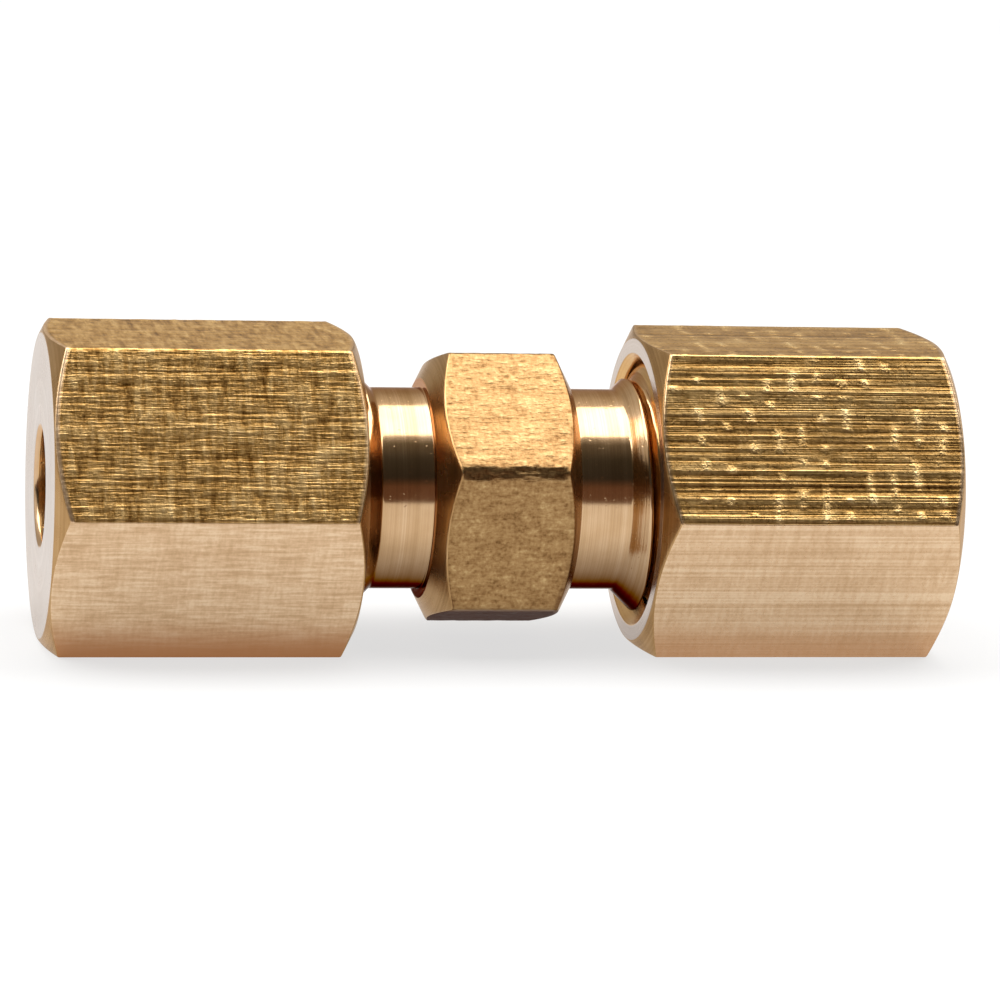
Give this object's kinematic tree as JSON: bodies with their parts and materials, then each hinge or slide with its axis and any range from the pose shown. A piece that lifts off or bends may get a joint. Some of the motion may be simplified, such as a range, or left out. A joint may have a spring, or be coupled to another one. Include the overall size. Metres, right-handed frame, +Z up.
{
  "type": "compression union",
  "caption": "Straight brass compression union: a hexagonal body with a threaded end and tube socket each side, each under a long hexagonal nut with a loose sleeve.",
  "frame": {"origin": "on the tube's centreline in the middle of the body, which is the centre of the whole fitting", "axes": "+X along the tube towards the right nut, +Z up with the nuts lying on a flat of their hexagons"},
  "size_m": [0.028, 0.011, 0.0096],
  "materials": {
    "body_brass": "bright as-machined free-cutting brass, turned on the neck and faces, drawn on the flats",
    "nut_brass": "as-drawn hexagon bar with chatter and draw lines, turned ends",
    "sleeve_brass": "turned brass"
  },
  "bodies": {
    "union_body": {"union_body": "body_brass"},
    "left_sleeve": {"left_sleeve": "sleeve_brass"},
    "right_sleeve": {"right_sleeve": "sleeve_brass"},
    "left_nut": {"left_nut": "nut_brass"},
    "right_nut": {"right_nut": "nut_brass"}
  },
  "joints": [
    {"name": "left_end_slide", "type": "slide", "parent": "union_body", "child": "left_sleeve", "axis": [-1, 0, 0], "range_m": [0, 0.00529]},
    {"name": "left_nut_turn", "type": "hinge", "parent": "left_sleeve", "child": "left_nut", "pos_m": [-0.00925, 0, 0], "axis": [-1, 0, 0], "range_deg": [0, 1800]},
    {"name": "right_end_slide", "type": "slide", "parent": "union_body", "child": "right_sleeve", "axis": [1, 0, 0], "range_m": [0, 0.00529]},
    {"name": "right_nut_turn", "type": "hinge", "parent": "right_sleeve", "child": "right_nut", "pos_m": [0.00925, 0, 0], "axis": [1, 0, 0], "range_deg": [0, 1800]}
  ],
  "couplings": [
    {"joint": "left_nut_turn", "follows": "left_end_slide", "rad_per_m": 5936.9},
    {"joint": "right_nut_turn", "follows": "right_end_slide", "rad_per_m": 5936.9}
  ]
}
